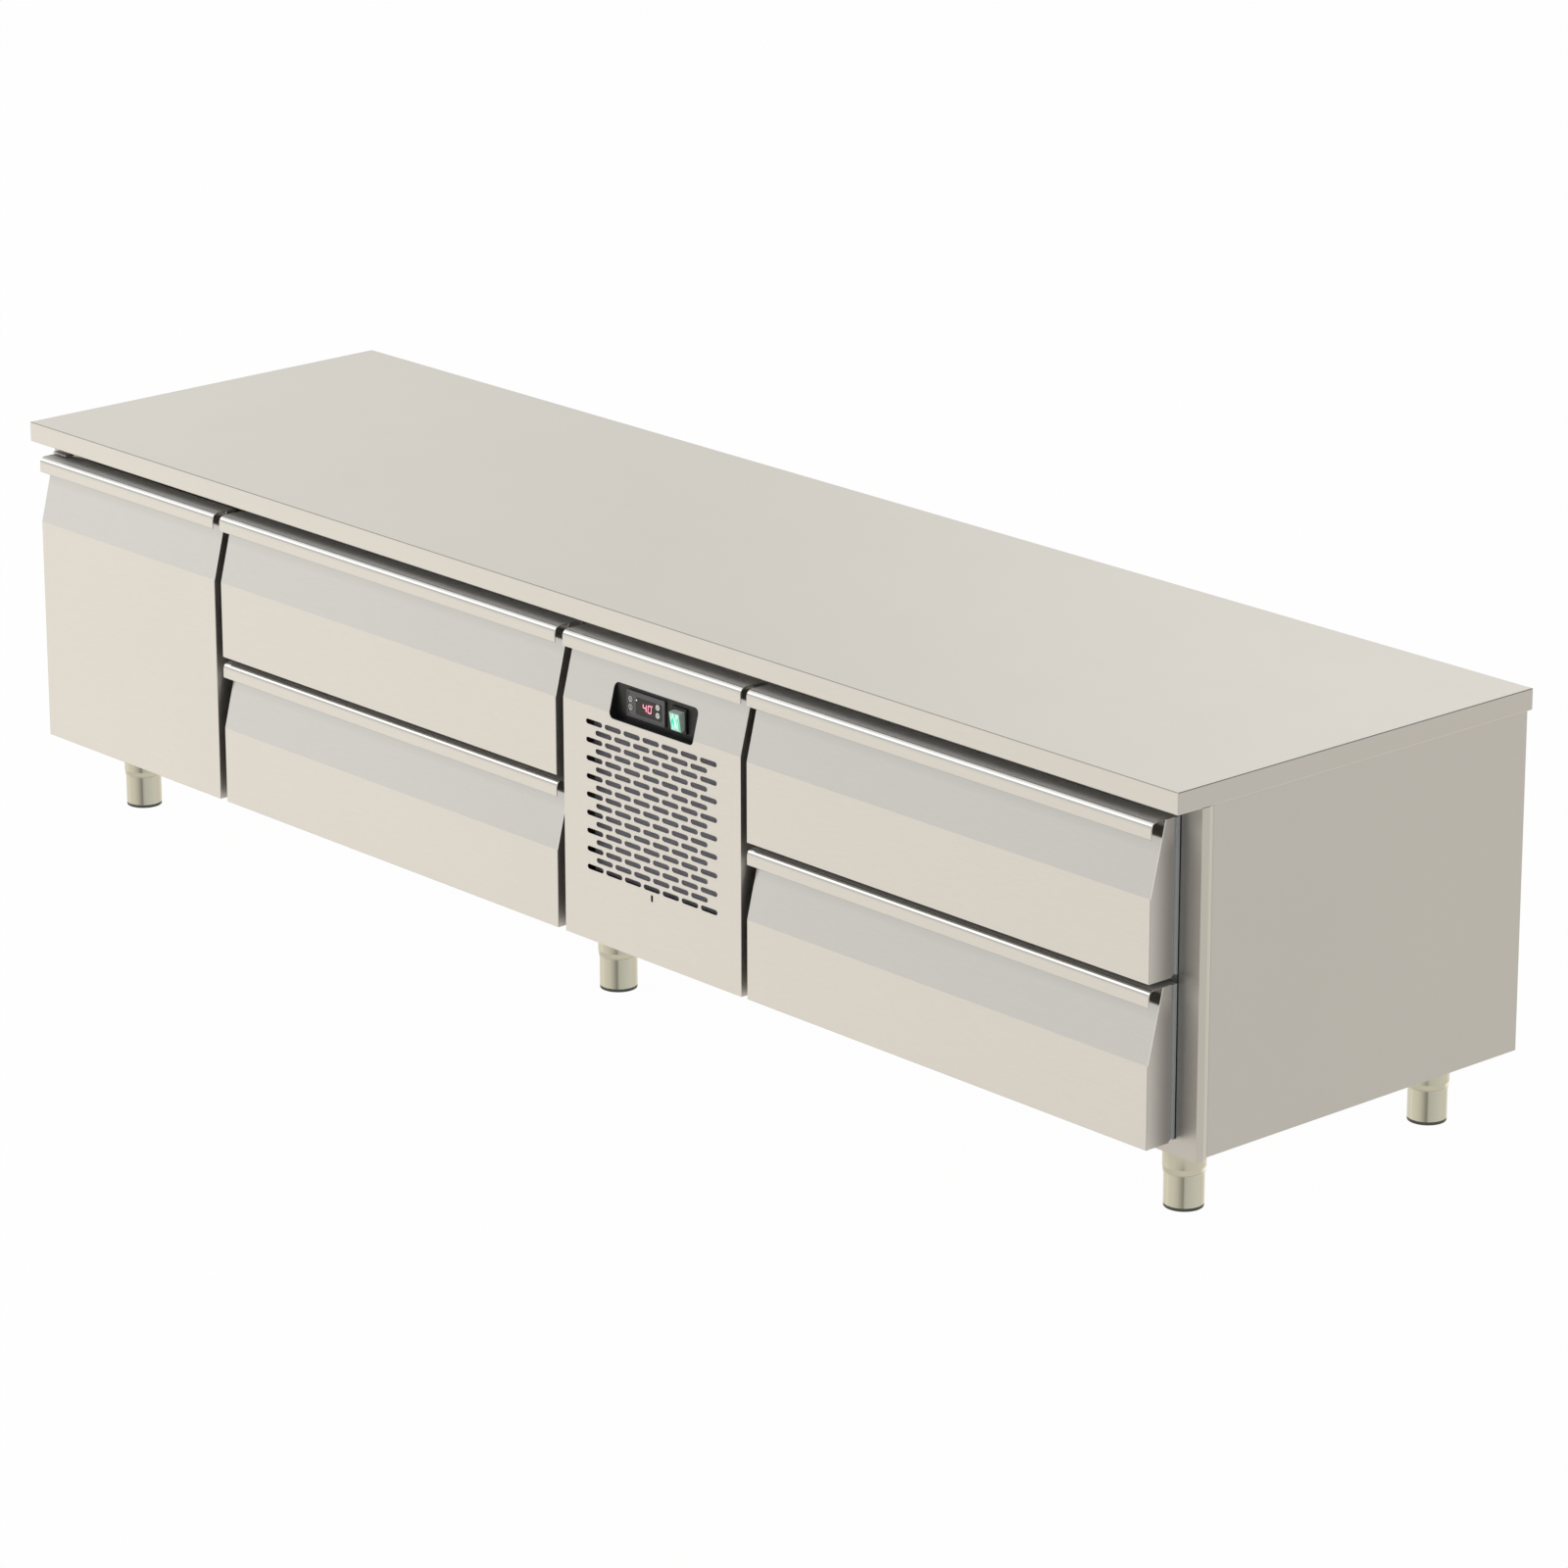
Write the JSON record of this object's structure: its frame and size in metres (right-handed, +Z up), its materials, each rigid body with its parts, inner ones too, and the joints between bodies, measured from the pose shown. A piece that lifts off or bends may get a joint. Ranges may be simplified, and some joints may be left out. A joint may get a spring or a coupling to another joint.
{
  "type": "refrigerated chef base",
  "caption": "Long low refrigerated counter with a hinged door, drawers with folded full-width handles, a grilled compressor bay with controls, and adjustable legs.",
  "frame": {"origin": "on the floor under the centre of the overall box, feet screwed fully in", "axes": "+X to the right along the length as seen from the front, +Y towards the back, +Z up; the fronts face -Y"},
  "size_m": [2.5914, 0.7106, 0.6479],
  "materials": {
    "black_plastic": "black satin plastic",
    "fan_plastic": "black moulded fan",
    "fins": "dark coated aluminium fins and shroud",
    "gasket": "bluish grey soft magnetic gasket",
    "green_plastic": "clear green lit rocker",
    "key_plastic": "white plastic keys",
    "leg_steel": "bright stainless tube with a warm tint",
    "liner": "plain satin stainless inner lining and pan frames",
    "painted_black": "satin black enamel on a welded steel can",
    "rail_steel": "plain stainless telescopic rails",
    "side_steel": "satin stainless side, back and underside panels",
    "stainless": "fine satin grain along the length, warm white stainless",
    "zinc": "bright plated steel"
  },
  "bodies": {
    "cabinet": {"bay_left_divider": "liner", "bay_right_divider": "liner", "compressor": "painted_black", "compressor_panel": "stainless", "condenser": "fins", "control_tray": "black_plastic", "controller_housing": "black_plastic", "door_divider": "liner", "evaporator": "liner", "front_frame": "stainless", "insulated_tub": "side_steel", "left_side_wall": "side_steel", "leg_sleeve_left_front": "leg_steel", "leg_sleeve_left_rear": "leg_steel", "leg_sleeve_middle_front": "leg_steel", "leg_sleeve_middle_rear": "leg_steel", "leg_sleeve_right_front": "leg_steel", "leg_sleeve_right_rear": "leg_steel", "lower_hinge_bracket": "zinc", "rear_vent_cover": "side_steel", "right_side_wall": "side_steel", "shelf": "zinc", "switch_housing": "black_plastic", "upper_hinge_bracket": "zinc", "worktop": "stainless"},
    "left_upper_drawer": {"left_upper_drawer_front": "stainless", "left_upper_drawer_gasket": "gasket", "left_upper_drawer_frame": "liner"},
    "left_upper_middle_rail_left": {"left_upper_slide_left": "rail_steel"},
    "left_upper_middle_rail_right": {"left_upper_slide_right": "rail_steel"},
    "left_lower_drawer": {"left_lower_drawer_front": "stainless", "left_lower_drawer_gasket": "gasket", "left_lower_drawer_frame": "liner"},
    "left_lower_middle_rail_left": {"left_lower_slide_left": "rail_steel"},
    "left_lower_middle_rail_right": {"left_lower_slide_right": "rail_steel"},
    "right_upper_drawer": {"right_upper_drawer_front": "stainless", "right_upper_drawer_gasket": "gasket", "right_upper_drawer_frame": "liner"},
    "right_upper_middle_rail_left": {"right_upper_slide_left": "rail_steel"},
    "right_upper_middle_rail_right": {"right_upper_slide_right": "rail_steel"},
    "right_lower_drawer": {"right_lower_drawer_front": "stainless", "right_lower_drawer_gasket": "gasket", "right_lower_drawer_frame": "liner"},
    "right_lower_middle_rail_left": {"right_lower_slide_left": "rail_steel"},
    "right_lower_middle_rail_right": {"right_lower_slide_right": "rail_steel"},
    "door": {"door_front": "stainless", "door_gasket": "gasket"},
    "left_upper_key_button": {"left_upper_key": "key_plastic"},
    "left_lower_key_button": {"left_lower_key": "key_plastic"},
    "right_upper_key_button": {"right_upper_key": "key_plastic"},
    "right_lower_key_button": {"right_lower_key": "key_plastic"},
    "rocker": {"switch_rocker": "green_plastic"},
    "condenser_fan_rotor": {"condenser_fan": "fan_plastic"},
    "evaporator_fan_rotor": {"evaporator_fan": "fan_plastic"},
    "adjustable_foot_left_front": {"foot_left_front": "leg_steel"},
    "adjustable_foot_left_rear": {"foot_left_rear": "leg_steel"},
    "adjustable_foot_middle_front": {"foot_middle_front": "leg_steel"},
    "adjustable_foot_middle_rear": {"foot_middle_rear": "leg_steel"},
    "adjustable_foot_right_front": {"foot_right_front": "leg_steel"},
    "adjustable_foot_right_rear": {"foot_right_rear": "leg_steel"}
  },
  "joints": [
    {"name": "left_upper_drawer_slide", "type": "slide", "parent": "cabinet", "child": "left_upper_drawer", "axis": [0, -1, 0], "range_m": [0, 0.5]},
    {"name": "left_upper_left_rail_slide", "type": "slide", "parent": "cabinet", "child": "left_upper_middle_rail_left", "axis": [0, -1, 0], "range_m": [0, 0.25]},
    {"name": "left_upper_right_rail_slide", "type": "slide", "parent": "cabinet", "child": "left_upper_middle_rail_right", "axis": [0, -1, 0], "range_m": [0, 0.25]},
    {"name": "left_lower_drawer_slide", "type": "slide", "parent": "cabinet", "child": "left_lower_drawer", "axis": [0, -1, 0], "range_m": [0, 0.5]},
    {"name": "left_lower_left_rail_slide", "type": "slide", "parent": "cabinet", "child": "left_lower_middle_rail_left", "axis": [0, -1, 0], "range_m": [0, 0.25]},
    {"name": "left_lower_right_rail_slide", "type": "slide", "parent": "cabinet", "child": "left_lower_middle_rail_right", "axis": [0, -1, 0], "range_m": [0, 0.25]},
    {"name": "right_upper_drawer_slide", "type": "slide", "parent": "cabinet", "child": "right_upper_drawer", "axis": [0, -1, 0], "range_m": [0, 0.5]},
    {"name": "right_upper_left_rail_slide", "type": "slide", "parent": "cabinet", "child": "right_upper_middle_rail_left", "axis": [0, -1, 0], "range_m": [0, 0.25]},
    {"name": "right_upper_right_rail_slide", "type": "slide", "parent": "cabinet", "child": "right_upper_middle_rail_right", "axis": [0, -1, 0], "range_m": [0, 0.25]},
    {"name": "right_lower_drawer_slide", "type": "slide", "parent": "cabinet", "child": "right_lower_drawer", "axis": [0, -1, 0], "range_m": [0, 0.5]},
    {"name": "right_lower_left_rail_slide", "type": "slide", "parent": "cabinet", "child": "right_lower_middle_rail_left", "axis": [0, -1, 0], "range_m": [0, 0.25]},
    {"name": "right_lower_right_rail_slide", "type": "slide", "parent": "cabinet", "child": "right_lower_middle_rail_right", "axis": [0, -1, 0], "range_m": [0, 0.25]},
    {"name": "door_hinge", "type": "hinge", "parent": "cabinet", "child": "door", "pos_m": [-1.24665, -0.32055, 0.1331], "axis": [0, 0, -1], "range_deg": [0, 100]},
    {"name": "left_upper_key_press", "type": "slide", "parent": "cabinet", "child": "left_upper_key_button", "axis": [0, 1, 0], "range_m": [0, 0.0005], "stiffness_N_per_m": 500},
    {"name": "left_lower_key_press", "type": "slide", "parent": "cabinet", "child": "left_lower_key_button", "axis": [0, 1, 0], "range_m": [0, 0.0005], "stiffness_N_per_m": 500},
    {"name": "right_upper_key_press", "type": "slide", "parent": "cabinet", "child": "right_upper_key_button", "axis": [0, 1, 0], "range_m": [0, 0.0005], "stiffness_N_per_m": 500},
    {"name": "right_lower_key_press", "type": "slide", "parent": "cabinet", "child": "right_lower_key_button", "axis": [0, 1, 0], "range_m": [0, 0.0005], "stiffness_N_per_m": 500},
    {"name": "rocker_tilt", "type": "hinge", "parent": "cabinet", "child": "rocker", "pos_m": [0.2892, -0.34055, 0.5146], "axis": [-1, 0, 0], "range_deg": [0, 18]},
    {"name": "condenser_fan_spin", "type": "hinge", "parent": "cabinet", "child": "condenser_fan_rotor", "pos_m": [0.2394, -0.24875, 0.35805], "axis": [0, 1, 0], "continuous": true},
    {"name": "evaporator_fan_spin", "type": "hinge", "parent": "cabinet", "child": "evaporator_fan_rotor", "pos_m": [-1.0289, 0.06775, 0.5195], "axis": [0, 1, 0], "continuous": true},
    {"name": "foot_left_front_height", "type": "slide", "parent": "cabinet", "child": "adjustable_foot_left_front", "axis": [0, 0, -1], "range_m": [0, 0.04]},
    {"name": "foot_left_rear_height", "type": "slide", "parent": "cabinet", "child": "adjustable_foot_left_rear", "axis": [0, 0, -1], "range_m": [0, 0.04]},
    {"name": "foot_middle_front_height", "type": "slide", "parent": "cabinet", "child": "adjustable_foot_middle_front", "axis": [0, 0, -1], "range_m": [0, 0.04]},
    {"name": "foot_middle_rear_height", "type": "slide", "parent": "cabinet", "child": "adjustable_foot_middle_rear", "axis": [0, 0, -1], "range_m": [0, 0.04]},
    {"name": "foot_right_front_height", "type": "slide", "parent": "cabinet", "child": "adjustable_foot_right_front", "axis": [0, 0, -1], "range_m": [0, 0.04]},
    {"name": "foot_right_rear_height", "type": "slide", "parent": "cabinet", "child": "adjustable_foot_right_rear", "axis": [0, 0, -1], "range_m": [0, 0.04]}
  ],
  "couplings": [
    {"joint": "left_upper_left_rail_slide", "follows": "left_upper_drawer_slide", "ratio": 0.5},
    {"joint": "left_upper_right_rail_slide", "follows": "left_upper_drawer_slide", "ratio": 0.5},
    {"joint": "left_lower_left_rail_slide", "follows": "left_lower_drawer_slide", "ratio": 0.5},
    {"joint": "left_lower_right_rail_slide", "follows": "left_lower_drawer_slide", "ratio": 0.5},
    {"joint": "right_upper_left_rail_slide", "follows": "right_upper_drawer_slide", "ratio": 0.5},
    {"joint": "right_upper_right_rail_slide", "follows": "right_upper_drawer_slide", "ratio": 0.5},
    {"joint": "right_lower_left_rail_slide", "follows": "right_lower_drawer_slide", "ratio": 0.5},
    {"joint": "right_lower_right_rail_slide", "follows": "right_lower_drawer_slide", "ratio": 0.5}
  ]
}
